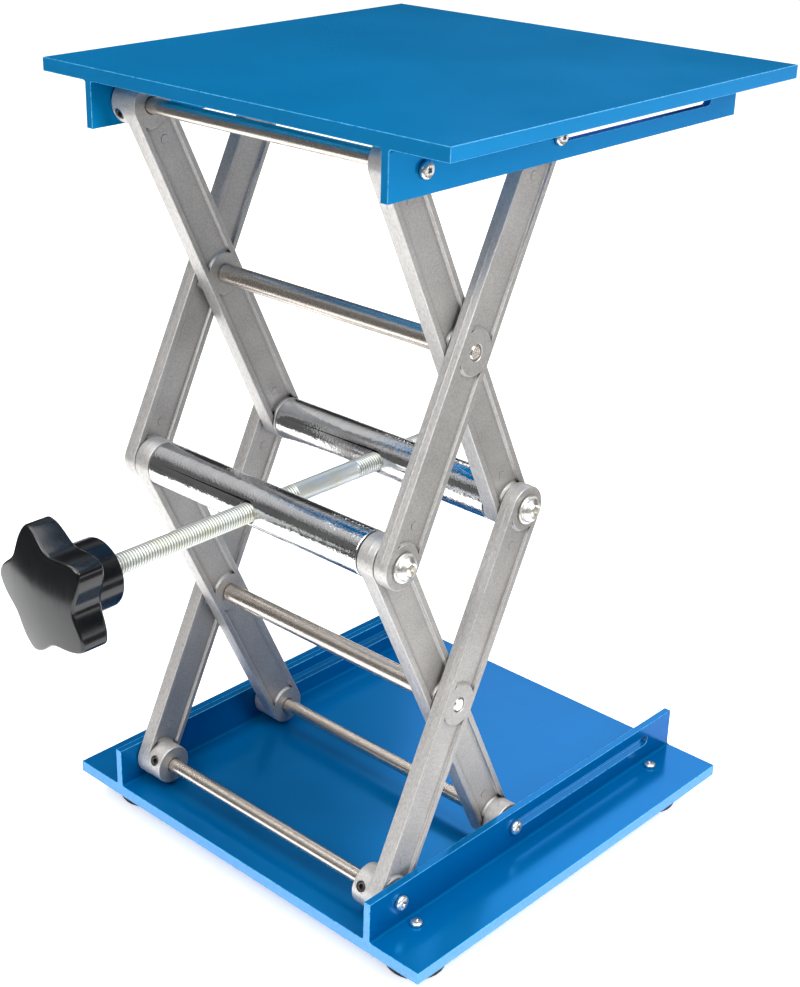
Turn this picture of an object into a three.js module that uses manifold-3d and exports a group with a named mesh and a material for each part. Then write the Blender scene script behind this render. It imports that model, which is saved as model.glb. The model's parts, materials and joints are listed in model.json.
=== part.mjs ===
// A laboratory scissor jack: two ribbed plates, two stages of crossed arms, and a
// right- and left-handed lead screw that draws the two middle crossbars together.
//
// Units are millimetres, +Z is up. The origin is the middle of the base plate's
// underside. X runs along the rods, the knob is at -Y, and the jack stands raised.

import * as THREE from "three";
import { mergeVertices } from "three/addons/utils/BufferGeometryUtils.js";
import Module from "manifold-3d";

const wasm = await Module();
wasm.setup();

// ---------------------------------------------------------------- driving dimensions

const GAP = 0.3; // between pieces that touch on the real jack

const PLATE_WIDTH = 200;
const PLATE_DEPTH = 198;
const PLATE_THICKNESS = 5.1;
const RIB_INNER = 71.9; // from the middle plane to a rib's inner face
const RIB_THICKNESS = 3.2;
const RIB_HEIGHT = 17.4;
const RIB_ROOT_RADIUS = 1.2;

const RAISED_HEIGHT = 313.5; // base plate's underside to top plate's upper face
const BASE_PIVOT_HEIGHT = 15.1; // above the base plate's underside
const TOP_PIVOT_DEPTH = 14; // below the top plate's upper face
const FRONT_PIVOT_Y = -81.9;
const SLOT_END_Y = 79.5; // centre of the slots' round rear end

const ARM_SPAN = 158.3; // pivot to pivot
const ARM_END_RADIUS = 8.5; // at the plates, and half the arm's width
const ARM_MID_RADIUS = 9; // where the two stages meet
const ARM_RIM = 2.3;
const ARM_POCKET_DEPTH = 1.2;
const OUTER_ARM = [65.2, 71.4]; // inner and outer faces, from the middle plane
const INNER_ARM = [58, 64.8];
const BOSS_RADIUS = 8.4;
const BOSS_INNER = 57.2; // where an outer arm's boss ends
const MID_PAD_RADIUS = 8.9;
const MID_PAD_INNER = 57; // where an inner arm's middle pad ends

const ROD_RADIUS = 3;
const ROD_END = 70;
const CENTRE_ROD_RADIUS = 4;
const CENTRE_JOURNAL_RADIUS = 2.8;
const CROSSBAR_RADIUS = 9;
const CROSSBAR_END = 56.4;
const CROSSBAR_TAP_DEPTH = 16;

const PIN_RADIUS = 2;
const PIN_HEAD_RADIUS = 3.1;
const PIN_HEAD_HEIGHT = 2;
const SET_SCREW_RADIUS = 2;
const SET_SCREW_SOCKET = 1.15;
const MID_SCREW_RADIUS = 3;
const MID_FLANGE_RADIUS = 5.75;
const MID_HEAD_RADIUS = 4.9;
const MID_HEAD_HEIGHT = 3.6;
const MID_SOCKET = 2.3;

const SCREW_RADIUS = 4; // M8 lead screw
const SCREW_SHANK_RADIUS = 3.9;
const SCREW_SHANK = [-65.7, -33.5]; // the plain length between the two threads
const SCREW_REAR_END = 45;
const KNOB_FACE_Y = -187.6; // the middle of the domed face
const KNOB_DOME = 3; // how far the face falls back between its middle and a lobe's tip
const KNOB_RADIUS = 25;
const KNOB_VALLEY_RADIUS = 18;
const KNOB_VALLEY_POWER = 0.7; // below 1 the valleys are wider than the lobes
const KNOB_LOBES = 5;
const KNOB_TURN = THREE.MathUtils.degToRad(-17); // how far one lobe leans from +Z
const KNOB_HEAD_LENGTH = 14;
const KNOB_HUB_LENGTH = 14.5;
const KNOB_HUB_RADIUS = 13;
const INSERT_RADIUS = 6;
const INSERT_LENGTH = 16.5;

const FOOT_X = 80.2;
const FOOT_Y = 77.8;
const FOOT_RADIUS = 12.5;
const FOOT_HEIGHT = 12;
const FOOT_SCREW_RADIUS = 1.5;
const FOOT_SCREW_HEAD_RADIUS = 2.5;
const FOOT_SCREW_HEAD_HEIGHT = 1.4;
const FOOT_SCREW_REACH = 7; // below the base plate

const SIDES = { left: -1, right: 1 };

// ---------------------------------------------------------------- derived places

const STAGE_RISE = (RAISED_HEIGHT - TOP_PIVOT_DEPTH - BASE_PIVOT_HEIGHT) / 2;
const RAISED_ANGLE = Math.asin(STAGE_RISE / ARM_SPAN);
const REAR_PIVOT_Y = FRONT_PIVOT_Y + ARM_SPAN * Math.cos(RAISED_ANGLE);
const MID_HEIGHT = BASE_PIVOT_HEIGHT + STAGE_RISE;
const TOP_PIVOT_HEIGHT = MID_HEIGHT + STAGE_RISE;
const RIB_OUTER = RIB_INNER + RIB_THICKNESS;

// ---------------------------------------------------------------- materials

const paint = (name, color, roughness, metalness) =>
  new THREE.MeshStandardMaterial({ name, color, roughness, metalness });

const materials = {
  bluePlate: () => paint("blue_plate", 0x0a72b4, 0.45, 0.3),
  castArm: () => paint("cast_arm", 0x9d9c98, 0.5, 0.8),
  brightRod: () => paint("bright_rod", 0xc9c3ba, 0.2, 1),
  chromeBar: () => paint("chrome_bar", 0xd8dadc, 0.12, 1),
  zincScrew: () => paint("zinc_screw", 0xc4c6ba, 0.3, 1),
  polishedScrew: () => paint("polished_screw", 0xd0d0d0, 0.15, 1),
  setScrew: () => paint("set_screw", 0x4a4a4c, 0.4, 1),
  knobPlastic: () => paint("knob_plastic", 0x0d0f12, 0.15, 0),
  brass: () => paint("brass", 0xb08d4a, 0.3, 1),
  rubber: () => paint("rubber", 0x16161a, 0.8, 0),
};

// ---------------------------------------------------------------- solids

function solidOf(geometry) {
  const bare = geometry.clone();
  bare.deleteAttribute("normal");
  bare.deleteAttribute("uv");
  const merged = mergeVertices(bare, 1e-4);
  const mesh = new wasm.Mesh({
    numProp: 3,
    vertProperties: new Float32Array(merged.attributes.position.array),
    triVerts: new Uint32Array(merged.index.array),
  });
  return new wasm.Manifold(mesh);
}

function geometryOf(solid) {
  const mesh = solid.getMesh();
  const geometry = new THREE.BufferGeometry();
  geometry.setAttribute("position", new THREE.BufferAttribute(mesh.vertProperties, 3));
  geometry.setIndex(new THREE.BufferAttribute(mesh.triVerts, 1));
  return geometry;
}

const joined = (first, ...rest) => rest.reduce((sum, next) => sum.add(solidOf(next)), solidOf(first));

const cut = (solid, ...tools) => tools.reduce((left, tool) => left.subtract(solidOf(tool)), solid);

// A shape drawn in (y, z) becomes a bar along X between two planes.
function barAlongX(shape, from, to, curveSegments = 8) {
  const start = Math.min(from, to);
  const depth = Math.abs(to - from);
  const bar = new THREE.ExtrudeGeometry(shape, { depth, curveSegments, bevelEnabled: false });
  return bar.rotateY(Math.PI / 2).rotateX(Math.PI / 2).translate(start, 0, 0);
}

function cylinderAlongX(radius, from, to, y = 0, z = 0, segments = 16) {
  const length = Math.abs(to - from);
  const cylinder = new THREE.CylinderGeometry(radius, radius, length, segments);
  return cylinder.rotateZ(Math.PI / 2).translate((from + to) / 2, y, z);
}

function cylinderAlongY(radius, from, to, segments = 16) {
  const length = Math.abs(to - from);
  const cylinder = new THREE.CylinderGeometry(radius, radius, length, segments);
  return cylinder.translate(0, (from + to) / 2, 0);
}

function cylinderAlongZ(radius, from, to, x, y, segments = 12) {
  const length = Math.abs(to - from);
  const cylinder = new THREE.CylinderGeometry(radius, radius, length, segments);
  return cylinder.rotateX(Math.PI / 2).translate(x, y, (from + to) / 2);
}

// A profile of [radius, height] pairs, from the bottom of the axis to its top, turned about Y.
function turned(profile, segments = 20) {
  const points = profile.map(([radius, height]) => new THREE.Vector2(radius, height));
  return new THREE.LatheGeometry(points, segments);
}

function hexPrism(cornerRadius, from, to) {
  const prism = new THREE.CylinderGeometry(cornerRadius, cornerRadius, to - from, 6);
  return prism.translate(0, (from + to) / 2, 0);
}

function node(name, geometry, material) {
  const mesh = new THREE.Mesh(geometry, material);
  mesh.name = name;
  return mesh;
}

// ---------------------------------------------------------------- plates

// A plate's section in (x, z): the flat underneath and the two ribs on top.
function plateSection() {
  const root = RIB_ROOT_RADIUS;
  const ribTop = PLATE_THICKNESS + RIB_HEIGHT;
  const section = new THREE.Shape();
  section.moveTo(-PLATE_WIDTH / 2, 0);
  section.lineTo(PLATE_WIDTH / 2, 0);
  section.lineTo(PLATE_WIDTH / 2, PLATE_THICKNESS);
  for (const side of [1, -1]) {
    const near = side > 0 ? RIB_OUTER : -RIB_INNER;
    const far = side > 0 ? RIB_INNER : -RIB_OUTER;
    section.lineTo(near + root, PLATE_THICKNESS);
    section.absarc(near + root, PLATE_THICKNESS + root, root, -Math.PI / 2, -Math.PI, true);
    section.lineTo(near, ribTop);
    section.lineTo(far, ribTop);
    section.lineTo(far, PLATE_THICKNESS + root);
    section.absarc(far - root, PLATE_THICKNESS + root, root, 0, -Math.PI / 2, true);
  }
  section.lineTo(-PLATE_WIDTH / 2, PLATE_THICKNESS);
  section.closePath();
  return section;
}

// The slot that lets a rear pin slide as the jack folds, drawn in (y, z).
function slotShape(height) {
  const radius = PIN_RADIUS + GAP;
  const slot = new THREE.Shape();
  slot.absarc(SLOT_END_Y, height, radius, -Math.PI / 2, Math.PI / 2, false);
  slot.absarc(REAR_PIVOT_Y, height, radius, Math.PI / 2, (3 * Math.PI) / 2, false);
  slot.closePath();
  return slot;
}

// A plate lying on its flat face, ribs up, with the pivot line at the given height.
function ribbedPlate(pivotHeight, holes = []) {
  const body = new THREE.ExtrudeGeometry(plateSection(), {
    depth: PLATE_DEPTH,
    curveSegments: 4,
    bevelEnabled: false,
  });
  body.rotateX(Math.PI / 2).translate(0, PLATE_DEPTH / 2, 0);
  const cutters = [...holes];
  for (const side of Object.values(SIDES)) {
    const inner = side * (RIB_INNER - 1);
    const outer = side * (RIB_OUTER + 1);
    cutters.push(barAlongX(slotShape(pivotHeight), inner, outer, 6));
    cutters.push(cylinderAlongX(PIN_RADIUS + GAP, inner, outer, FRONT_PIVOT_Y, pivotHeight));
  }
  return geometryOf(cut(solidOf(body), ...cutters));
}

function basePlate() {
  const screwHoles = footPlaces().map(({ x, y }) =>
    cylinderAlongZ(FOOT_SCREW_RADIUS + GAP, -1, PLATE_THICKNESS + 1, x, y)
  );
  return node("base_plate", ribbedPlate(BASE_PIVOT_HEIGHT, screwHoles), materials.bluePlate());
}

// The top plate is the same section turned over about its front-to-back axis.
function topPlate() {
  const plate = node("top_plate", ribbedPlate(TOP_PIVOT_DEPTH), materials.bluePlate());
  plate.rotation.y = Math.PI;
  plate.position.z = RAISED_HEIGHT;
  return plate;
}

// ---------------------------------------------------------------- feet

function footPlaces() {
  const places = [];
  for (const [end, y] of [["front", -FOOT_Y], ["rear", FOOT_Y]]) {
    for (const [side, sign] of Object.entries(SIDES)) {
      places.push({ label: `${end}_${side}`, x: sign * FOOT_X, y });
    }
  }
  return places;
}

// A rubber foot, open at the top for its screw.
function footSolid() {
  const bore = FOOT_SCREW_RADIUS + GAP;
  const rim = 0.8;
  const boreDepth = FOOT_SCREW_REACH + GAP;
  return turned([
    [0, -FOOT_HEIGHT],
    [FOOT_RADIUS - rim, -FOOT_HEIGHT],
    [FOOT_RADIUS, -FOOT_HEIGHT + rim],
    [FOOT_RADIUS, -GAP],
    [bore, -GAP],
    [bore, -boreDepth],
    [0, -boreDepth],
  ]).rotateX(Math.PI / 2);
}

function footScrewSolid() {
  const seat = PLATE_THICKNESS + GAP;
  const head = FOOT_SCREW_HEAD_RADIUS;
  return turned([
    [0, -FOOT_SCREW_REACH],
    [FOOT_SCREW_RADIUS, -FOOT_SCREW_REACH],
    [FOOT_SCREW_RADIUS, seat],
    [head, seat],
    [head * 0.9, seat + FOOT_SCREW_HEAD_HEIGHT * 0.6],
    [head * 0.5, seat + FOOT_SCREW_HEAD_HEIGHT],
    [0, seat + FOOT_SCREW_HEAD_HEIGHT],
  ], 12).rotateX(Math.PI / 2);
}

function feet() {
  const group = new THREE.Group();
  for (const { label, x, y } of footPlaces()) {
    const foot = node(`foot_${label}`, footSolid(), materials.rubber());
    const screw = node(`foot_screw_${label}`, footScrewSolid(), materials.polishedScrew());
    foot.position.set(x, y, 0);
    screw.position.set(x, y, 0);
    group.add(foot, screw);
  }
  return group;
}

// ---------------------------------------------------------------- arms

// An arm lies along +Y from its plate-end pivot, which is the origin.
function armOutline() {
  const lean = Math.asin((ARM_MID_RADIUS - ARM_END_RADIUS) / ARM_SPAN);
  const outline = new THREE.Shape();
  outline.absarc(0, 0, ARM_END_RADIUS, Math.PI / 2 + lean, (3 * Math.PI) / 2 - lean, false);
  outline.absarc(ARM_SPAN, 0, ARM_MID_RADIUS, -Math.PI / 2 - lean, Math.PI / 2 + lean, false);
  outline.closePath();
  return outline;
}

// The sunken web between two round pads whose centres are given along the arm.
function pocketShape(start, end) {
  const half = ARM_END_RADIUS - ARM_RIM;
  const swing = Math.asin(half / ARM_END_RADIUS);
  const pocket = new THREE.Shape();
  pocket.absarc(start, 0, ARM_END_RADIUS, -swing, swing, false);
  pocket.absarc(end, 0, ARM_END_RADIUS, Math.PI - swing, Math.PI + swing, false);
  pocket.closePath();
  return pocket;
}

// Both faces of the bar are sunk between the pads, which leaves an I-shaped section.
function armPockets(near, far) {
  const tools = [];
  for (const [face, back] of [[near, far], [far, near]]) {
    const outward = Math.sign(face - back);
    for (const [start, end] of [[0, ARM_SPAN / 2], [ARM_SPAN / 2, ARM_SPAN]]) {
      tools.push(barAlongX(pocketShape(start, end), face - outward * ARM_POCKET_DEPTH, face + outward, 4));
    }
  }
  return tools;
}

// A tool lying along +Y is turned to point at an angle in the (y, z) plane.
function pointed(tool, x, angle) {
  return tool.rotateX(angle).translate(x, 0, 0);
}

function armSolid(side, isOuter, setScrewX, setScrewAngle) {
  const faces = isOuter ? OUTER_ARM : INNER_ARM;
  const [near, far] = faces.map((face) => side * face);
  const middle = (near + far) / 2;
  const parts = [];
  if (isOuter) {
    parts.push(cylinderAlongX(BOSS_RADIUS, side * BOSS_INNER, middle, 0, 0, 24));
  } else {
    parts.push(cylinderAlongX(BOSS_RADIUS, middle, side * OUTER_ARM[1], 0, 0, 24));
    parts.push(cylinderAlongX(MID_PAD_RADIUS, side * MID_PAD_INNER, middle, ARM_SPAN, 0, 24));
  }
  const [boreFrom, boreTo] = [side * (MID_PAD_INNER - 1), side * (OUTER_ARM[1] + 1)];
  const setScrewHole = cylinderAlongY(SET_SCREW_RADIUS + GAP, 0, ARM_END_RADIUS + 1, 12);
  const tools = [
    cylinderAlongX(ROD_RADIUS + GAP, boreFrom, boreTo, 0, 0),
    cylinderAlongX(CENTRE_JOURNAL_RADIUS + GAP, boreFrom, boreTo, ARM_SPAN / 2, 0),
    cylinderAlongX(MID_SCREW_RADIUS + GAP, boreFrom, boreTo, ARM_SPAN, 0),
    pointed(setScrewHole, side * setScrewX, setScrewAngle),
  ];
  const bar = cut(solidOf(barAlongX(armOutline(), near, far)), ...armPockets(near, far));
  return geometryOf(cut(bar.add(joined(...parts)), ...tools));
}

// A headless screw with a hexagon socket, pressing on the rod from outside the boss.
function setScrewSolid() {
  const start = ROD_RADIUS + GAP;
  const end = ARM_END_RADIUS - GAP;
  const socketDepth = 2;
  const body = cylinderAlongY(SET_SCREW_RADIUS, start, end, 12);
  const socket = hexPrism(SET_SCREW_SOCKET, end - socketDepth, end + 1);
  return geometryOf(cut(solidOf(body), socket));
}

// A screw from outside the rib into the rod's end: a plain shank and a low round head.
function pivotPinSolid(side) {
  const seat = RIB_OUTER + GAP;
  return turned([
    [0, ROD_END + GAP],
    [PIN_RADIUS, ROD_END + GAP],
    [PIN_RADIUS, seat],
    [PIN_HEAD_RADIUS, seat],
    [PIN_HEAD_RADIUS, seat + PIN_HEAD_HEIGHT * 0.5],
    [PIN_HEAD_RADIUS * 0.6, seat + PIN_HEAD_HEIGHT],
    [0, seat + PIN_HEAD_HEIGHT],
  ], 12).rotateZ(-side * Math.PI / 2);
}

// One pair of arms on its plate rod, with the pins and set screws at the plate.
function armPair({ stage, isOuter, end, pinName, pivot, angle }) {
  const kind = isOuter ? "outer" : "inner";
  const setScrewX = isOuter ? (BOSS_INNER + OUTER_ARM[0]) / 2 : (INNER_ARM[1] + OUTER_ARM[1]) / 2;
  const setScrewAngle = Math.sign(Math.sin(2 * angle)) * Math.PI / 2; // square to the arm, outwards
  const group = new THREE.Group();
  for (const [label, side] of Object.entries(SIDES)) {
    const arm = armSolid(side, isOuter, setScrewX, setScrewAngle);
    const setScrew = pointed(setScrewSolid(), side * setScrewX, setScrewAngle);
    group.add(
      node(`${stage}_${kind}_arm_${label}`, arm, materials.castArm()),
      node(`${end}_set_screw_${label}`, setScrew, materials.setScrew()),
      node(`${pinName}_${label}`, pivotPinSolid(side), materials.polishedScrew())
    );
  }
  group.add(node(`${end}_rod`, cylinderAlongX(ROD_RADIUS, -ROD_END, ROD_END), materials.brightRod()));
  group.position.set(0, pivot[0], pivot[1]);
  group.rotation.x = angle;
  return group;
}

function armPairs() {
  const turn = RAISED_ANGLE;
  return [
    { stage: "lower", isOuter: true, end: "base_front", pinName: "base_pivot_pin",
      pivot: [FRONT_PIVOT_Y, BASE_PIVOT_HEIGHT], angle: turn },
    { stage: "lower", isOuter: false, end: "base_rear", pinName: "base_slide_pin",
      pivot: [REAR_PIVOT_Y, BASE_PIVOT_HEIGHT], angle: Math.PI - turn },
    { stage: "upper", isOuter: false, end: "top_front", pinName: "top_pivot_pin",
      pivot: [FRONT_PIVOT_Y, TOP_PIVOT_HEIGHT], angle: -turn },
    { stage: "upper", isOuter: true, end: "top_rear", pinName: "top_slide_pin",
      pivot: [REAR_PIVOT_Y, TOP_PIVOT_HEIGHT], angle: Math.PI + turn },
  ].map(armPair);
}

// ---------------------------------------------------------------- centre rods and crossbars

// A rod with a shoulder between the inner arms and a thin journal through both arms.
function centreRod(name, height) {
  const shoulder = INNER_ARM[0] - GAP;
  const end = OUTER_ARM[1] - 0.1;
  const rod = turned([
    [0, -end],
    [CENTRE_JOURNAL_RADIUS, -end],
    [CENTRE_JOURNAL_RADIUS, -shoulder],
    [CENTRE_ROD_RADIUS, -shoulder],
    [CENTRE_ROD_RADIUS, shoulder],
    [CENTRE_JOURNAL_RADIUS, shoulder],
    [CENTRE_JOURNAL_RADIUS, end],
    [0, end],
  ]).rotateZ(-Math.PI / 2);
  const mesh = node(name, rod, materials.brightRod());
  mesh.position.set(0, (FRONT_PIVOT_Y + REAR_PIVOT_Y) / 2, height);
  return mesh;
}

// A thick bar, bored across for the lead screw and tapped at both ends for the middle screws.
function crossbarSolid() {
  const bar = cylinderAlongX(CROSSBAR_RADIUS, -CROSSBAR_END, CROSSBAR_END, 0, 0, 32);
  const tools = [cylinderAlongY(SCREW_RADIUS + GAP, -CROSSBAR_RADIUS - 1, CROSSBAR_RADIUS + 1, 20)];
  for (const side of Object.values(SIDES)) {
    const bottom = side * (CROSSBAR_END - CROSSBAR_TAP_DEPTH);
    tools.push(cylinderAlongX(MID_SCREW_RADIUS + GAP, bottom, side * (CROSSBAR_END + 1)));
  }
  return geometryOf(cut(solidOf(bar), ...tools));
}

// A flanged round-head screw with a hexagon socket, through both arms into the crossbar.
function midScrewSolid(side) {
  const seat = OUTER_ARM[1] + GAP;
  const top = seat + MID_HEAD_HEIGHT;
  const flange = 0.9;
  const tip = CROSSBAR_END - CROSSBAR_TAP_DEPTH + 1;
  const body = turned([
    [0, tip],
    [MID_SCREW_RADIUS, tip],
    [MID_SCREW_RADIUS, seat],
    [MID_FLANGE_RADIUS, seat],
    [MID_FLANGE_RADIUS, seat + flange],
    [MID_HEAD_RADIUS, seat + flange],
    [MID_HEAD_RADIUS * 0.88, top - 0.8],
    [MID_HEAD_RADIUS * 0.65, top],
    [0, top],
  ]);
  const socket = hexPrism(MID_SOCKET, top - MID_HEAD_HEIGHT * 0.6, top + 1);
  return geometryOf(cut(solidOf(body), socket)).rotateZ(-side * Math.PI / 2);
}

function crossbar(label, y) {
  const group = new THREE.Group();
  group.add(node(`${label}_crossbar`, crossbarSolid(), materials.chromeBar()));
  for (const [sideLabel, side] of Object.entries(SIDES)) {
    group.add(node(`${label}_mid_screw_${sideLabel}`, midScrewSolid(side), materials.polishedScrew()));
  }
  group.position.set(0, y, MID_HEIGHT);
  return group;
}

// ---------------------------------------------------------------- lead screw and knob

// Right-handed thread at the front, left-handed behind, and a plain length between them.
function leadScrewSolid() {
  const front = KNOB_FACE_Y + KNOB_HEAD_LENGTH + KNOB_HUB_LENGTH - INSERT_LENGTH;
  return turned([
    [0, front],
    [SCREW_RADIUS, front],
    [SCREW_RADIUS, SCREW_SHANK[0]],
    [SCREW_SHANK_RADIUS, SCREW_SHANK[0]],
    [SCREW_SHANK_RADIUS, SCREW_SHANK[1]],
    [SCREW_RADIUS, SCREW_SHANK[1]],
    [SCREW_RADIUS, SCREW_REAR_END - 1],
    [SCREW_RADIUS - 1, SCREW_REAR_END],
    [0, SCREW_REAR_END],
  ]);
}

// The knob's outline: a circle that dips smoothly between its lobes.
function knobOutline(steps = 50) {
  const dip = KNOB_RADIUS - KNOB_VALLEY_RADIUS;
  const outline = new THREE.Shape();
  for (let step = 0; step < steps; step += 1) {
    const angle = (step / steps) * 2 * Math.PI;
    const valley = (0.5 - 0.5 * Math.cos(KNOB_LOBES * (angle - KNOB_TURN))) ** KNOB_VALLEY_POWER;
    const radius = KNOB_RADIUS - dip * valley;
    const [x, z] = [radius * Math.sin(angle), radius * Math.cos(angle)];
    if (step === 0) outline.moveTo(x, z);
    else outline.lineTo(x, z);
  }
  outline.closePath();
  return outline;
}

// A round body with the head's domed face and flat back, wide enough to hold every lobe.
function domedDisc(headBack, steps = 6) {
  const reach = KNOB_RADIUS + 1;
  const face = [];
  for (let step = 0; step <= steps; step += 1) {
    const radius = (step / steps) * reach;
    face.push([radius, KNOB_FACE_Y + KNOB_DOME * (radius / KNOB_RADIUS) ** 2]);
  }
  return turned([...face, [reach, headBack], [0, headBack]], 32);
}

function knobSolid() {
  const headBack = KNOB_FACE_Y + KNOB_HEAD_LENGTH;
  const hubEnd = headBack + KNOB_HUB_LENGTH;
  const lobes = new THREE.ExtrudeGeometry(knobOutline(), { depth: KNOB_HEAD_LENGTH, bevelEnabled: false });
  lobes.rotateX(Math.PI / 2).translate(0, headBack, 0);
  const head = solidOf(lobes).intersect(solidOf(domedDisc(headBack)));
  const hub = cylinderAlongY(KNOB_HUB_RADIUS, headBack - 1, hubEnd, 32);
  const seat = cylinderAlongY(INSERT_RADIUS + GAP, hubEnd - INSERT_LENGTH - 2 * GAP, hubEnd + 1);
  return geometryOf(cut(head.add(solidOf(hub)), seat));
}

// A threaded metal bush moulded into the knob's hub.
function knobInsertSolid() {
  const outer = KNOB_FACE_Y + KNOB_HEAD_LENGTH + KNOB_HUB_LENGTH - GAP;
  const body = cylinderAlongY(INSERT_RADIUS, outer - INSERT_LENGTH, outer);
  const bore = cylinderAlongY(SCREW_RADIUS + GAP, outer - INSERT_LENGTH - 1, outer + 1);
  return geometryOf(cut(solidOf(body), bore));
}

function screwAndKnob() {
  const group = new THREE.Group();
  group.add(
    node("lead_screw", leadScrewSolid(), materials.zincScrew()),
    node("knob", knobSolid(), materials.knobPlastic()),
    node("knob_insert", knobInsertSolid(), materials.brass())
  );
  group.position.z = MID_HEIGHT;
  return group;
}

// ---------------------------------------------------------------- assembly

const jack = new THREE.Group();
jack.add(
  basePlate(),
  feet(),
  ...armPairs(),
  centreRod("lower_centre_rod", (BASE_PIVOT_HEIGHT + MID_HEIGHT) / 2),
  centreRod("upper_centre_rod", (MID_HEIGHT + TOP_PIVOT_HEIGHT) / 2),
  crossbar("front", FRONT_PIVOT_Y),
  crossbar("rear", REAR_PIVOT_Y),
  screwAndKnob(),
  topPlate()
);

export default jack;
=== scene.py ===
"""The looks of a raised laboratory scissor jack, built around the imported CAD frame.

Every CAD node is replaced by a more detailed piece that rides on the same body. Lengths are in
metres, +Z is up, the knob is at -Y, and the origin is the middle of the base plate's underside.
"""

import json
import math

import bmesh
import bpy
from mathutils import Matrix, Quaternion, Vector


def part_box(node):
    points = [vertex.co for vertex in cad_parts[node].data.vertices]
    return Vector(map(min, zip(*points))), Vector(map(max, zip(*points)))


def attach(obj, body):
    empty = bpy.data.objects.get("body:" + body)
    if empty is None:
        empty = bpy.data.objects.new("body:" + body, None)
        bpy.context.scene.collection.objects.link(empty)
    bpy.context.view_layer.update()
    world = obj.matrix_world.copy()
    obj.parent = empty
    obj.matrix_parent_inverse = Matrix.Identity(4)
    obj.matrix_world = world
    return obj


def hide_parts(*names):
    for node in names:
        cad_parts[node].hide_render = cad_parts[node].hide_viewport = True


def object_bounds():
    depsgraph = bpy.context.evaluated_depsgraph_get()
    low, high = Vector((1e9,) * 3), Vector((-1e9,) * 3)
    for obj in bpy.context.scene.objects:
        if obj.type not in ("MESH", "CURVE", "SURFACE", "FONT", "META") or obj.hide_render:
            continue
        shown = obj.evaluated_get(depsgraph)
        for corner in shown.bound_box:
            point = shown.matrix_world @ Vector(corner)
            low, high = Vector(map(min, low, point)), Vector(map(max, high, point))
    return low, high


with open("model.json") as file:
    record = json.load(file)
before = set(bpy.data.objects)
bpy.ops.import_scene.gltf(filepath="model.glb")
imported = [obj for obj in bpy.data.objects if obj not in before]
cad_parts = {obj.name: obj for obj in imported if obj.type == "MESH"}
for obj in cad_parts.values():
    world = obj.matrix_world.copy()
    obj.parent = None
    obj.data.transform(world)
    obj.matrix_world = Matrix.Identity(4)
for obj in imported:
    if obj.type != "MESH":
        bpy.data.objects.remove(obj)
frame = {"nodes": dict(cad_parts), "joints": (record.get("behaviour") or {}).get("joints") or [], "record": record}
CAD_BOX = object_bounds()

# ---------------------------------------------------------------- sizes the frame's boxes don't tell

MM = 0.001
GAP = 0.3 * MM  # the CAD's clearance between pieces that touch on the real jack

PLATE_THICKNESS = 5.1 * MM
PLATE_EDGE = 0.25 * MM
RIB_INNER = 71.9 * MM  # from the middle to the rib's near face
RIB_THICKNESS = 3.2 * MM
RIB_ROOT = 1.2 * MM
SLOT_END = 79.5 * MM
PLATE_HOLE_RADIUS = 1.8 * MM

ARM_END_RADIUS = 8.5 * MM
ARM_MID_RADIUS = 9 * MM
ARM_RIM = 2.3 * MM
POCKET_DEPTH = 1.2 * MM
OUTER_ARM_THICKNESS = 6.2 * MM
INNER_ARM_FACES = (58 * MM, 64.8 * MM)
BOSS_RADIUS = 8.4 * MM
PAD_RADIUS = 8.9 * MM
FLASH = 0.12 * MM  # how far the casting's parting line stands out
EJECTOR_RADIUS = 1.7 * MM  # round marks that the mould's ejector pins leave
EJECTOR_HEIGHT = 0.18 * MM
EJECTOR_FROM_PIVOT = 15 * MM

ROD_RADIUS = 3 * MM
CENTRE_ROD_RADIUS = 4 * MM
CENTRE_JOURNAL_RADIUS = 2.8 * MM
SET_SCREW_RADIUS = 2 * MM
PIN_RADIUS = 2 * MM
PIN_HEAD = (3.1 * MM, 2 * MM)  # radius and height
MID_SCREW_RADIUS = 3 * MM
MID_SCREW_FLANGE_RADIUS = 5.75 * MM
MID_SCREW_HEAD_HEIGHT = 3.6 * MM
FOOT_SCREW_RADIUS = 1.5 * MM
FOOT_SCREW_HEAD = (2.5 * MM, 1.4 * MM)
CROSSBAR_TAP_DEPTH = 16 * MM
LEAD_SCREW_RADIUS = 4 * MM
THREAD_PITCH = 1.25 * MM
THREAD_DEPTH = 0.6 * MM
PLAIN_SHANK = (-65.7 * MM, -33.5 * MM)
PLAIN_SHANK_RADIUS = 3.9 * MM
KNOB_LOBES = 5
KNOB_TIP_RADIUS = 25 * MM
KNOB_VALLEY_RADIUS = 18 * MM
KNOB_VALLEY_POWER = 0.7  # below 1 the valleys are wider than the lobes
KNOB_HEAD_LENGTH = 14 * MM
KNOB_HUB_RADIUS = 13 * MM
KNOB_TURN = math.radians(-17)
KNOB_DOME = 3 * MM  # how far the face falls back between its middle and a lobe's tip
KNOB_SEGMENTS = 200

SIDES = {"left": -1, "right": 1}
X, Y, Z = Vector((1, 0, 0)), Vector((0, 1, 0)), Vector((0, 0, 1))

# ---------------------------------------------------------------- places from the frame

BODY_OF = {n: body for body, nodes in frame["record"]["behaviour"]["bodies"].items() for n in nodes}
JOINT_AT = {j["name"]: Vector(j["pos_m"]) for j in frame["joints"] if "pos_m" in j}

BASE_FRONT = JOINT_AT["lift"]
REAR_MID = JOINT_AT["rear_mid"]
TOP_FRONT = JOINT_AT["top_pivot"]
FRONT_MID = JOINT_AT["front_bar_turn"]
BASE_REAR = Vector((0, REAR_MID.y, BASE_FRONT.z))
TOP_REAR = Vector((0, REAR_MID.y, TOP_FRONT.z))
ARM_SPAN = (REAR_MID - BASE_FRONT).length


def middle(node):
    low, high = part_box(node)
    return (low + high) / 2


# ---------------------------------------------------------------- mesh tools


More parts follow.
